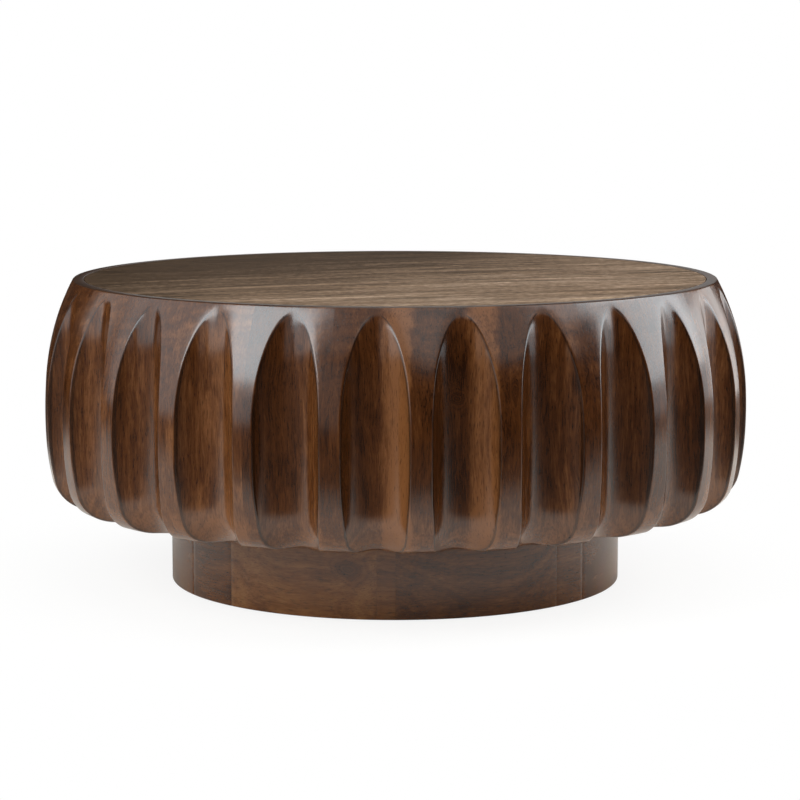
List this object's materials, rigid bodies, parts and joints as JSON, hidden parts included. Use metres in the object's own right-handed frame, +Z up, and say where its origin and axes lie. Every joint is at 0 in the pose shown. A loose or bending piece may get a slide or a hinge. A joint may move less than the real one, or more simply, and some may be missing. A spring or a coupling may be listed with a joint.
{
  "type": "drum coffee table",
  "caption": "Low round wooden table shaped like a barrel drum, with tall carved flutes, an inset veneered top and a smaller round plinth.",
  "frame": {"origin": "point on the floor below the middle of the drum", "axes": "+Z up along the drum's axis, the front of the table faces -Y, +X to the right seen from the front"},
  "size_m": [0.9125, 0.9135, 0.396],
  "materials": {
    "stave_wood": "brown stain under satin lacquer, vertical grain",
    "plinth_wood": "brown stain under satin lacquer, horizontal grain",
    "top_veneer": "open-pored grey-brown veneer, matt lacquer",
    "board": "raw fibreboard",
    "batten_wood": "planed, unfinished",
    "plywood": "raw plywood",
    "felt": "pressed felt",
    "screw_steel": "zinc plated"
  },
  "bodies": {
    "root": {"stave_01": "stave_wood", "stave_02": "stave_wood", "stave_03": "stave_wood", "stave_04": "stave_wood", "stave_05": "stave_wood", "stave_06": "stave_wood", "stave_07": "stave_wood", "stave_08": "stave_wood", "stave_09": "stave_wood", "stave_10": "stave_wood", "stave_11": "stave_wood", "stave_12": "stave_wood", "stave_13": "stave_wood", "stave_14": "stave_wood", "stave_15": "stave_wood", "stave_16": "stave_wood", "stave_17": "stave_wood", "stave_18": "stave_wood", "stave_19": "stave_wood", "stave_20": "stave_wood", "stave_21": "stave_wood", "stave_22": "stave_wood", "stave_23": "stave_wood", "stave_24": "stave_wood", "stave_25": "stave_wood", "stave_26": "stave_wood", "stave_27": "stave_wood", "plinth_block_01": "plinth_wood", "plinth_block_02": "plinth_wood", "plinth_block_03": "plinth_wood", "plinth_block_04": "plinth_wood", "plinth_block_05": "plinth_wood", "plinth_block_06": "plinth_wood", "plinth_block_07": "plinth_wood", "plinth_block_08": "plinth_wood", "plinth_block_09": "plinth_wood", "plinth_block_10": "plinth_wood", "plinth_block_11": "plinth_wood", "plinth_block_12": "plinth_wood", "plinth_block_13": "plinth_wood", "plinth_block_14": "plinth_wood", "top_veneer": "top_veneer", "top_core": "board", "batten_left": "batten_wood", "batten_right": "batten_wood", "upper_hoop": "plywood", "lower_hoop": "plywood", "drum_floor": "plywood", "plinth_plate": "plywood", "plinth_glue_blocks": "batten_wood", "stave_splines": "plywood", "felt_pads": "felt", "top_screws": "screw_steel", "batten_screws": "screw_steel", "floor_screws": "screw_steel", "plinth_screws": "screw_steel"}
  },
  "joints": []
}
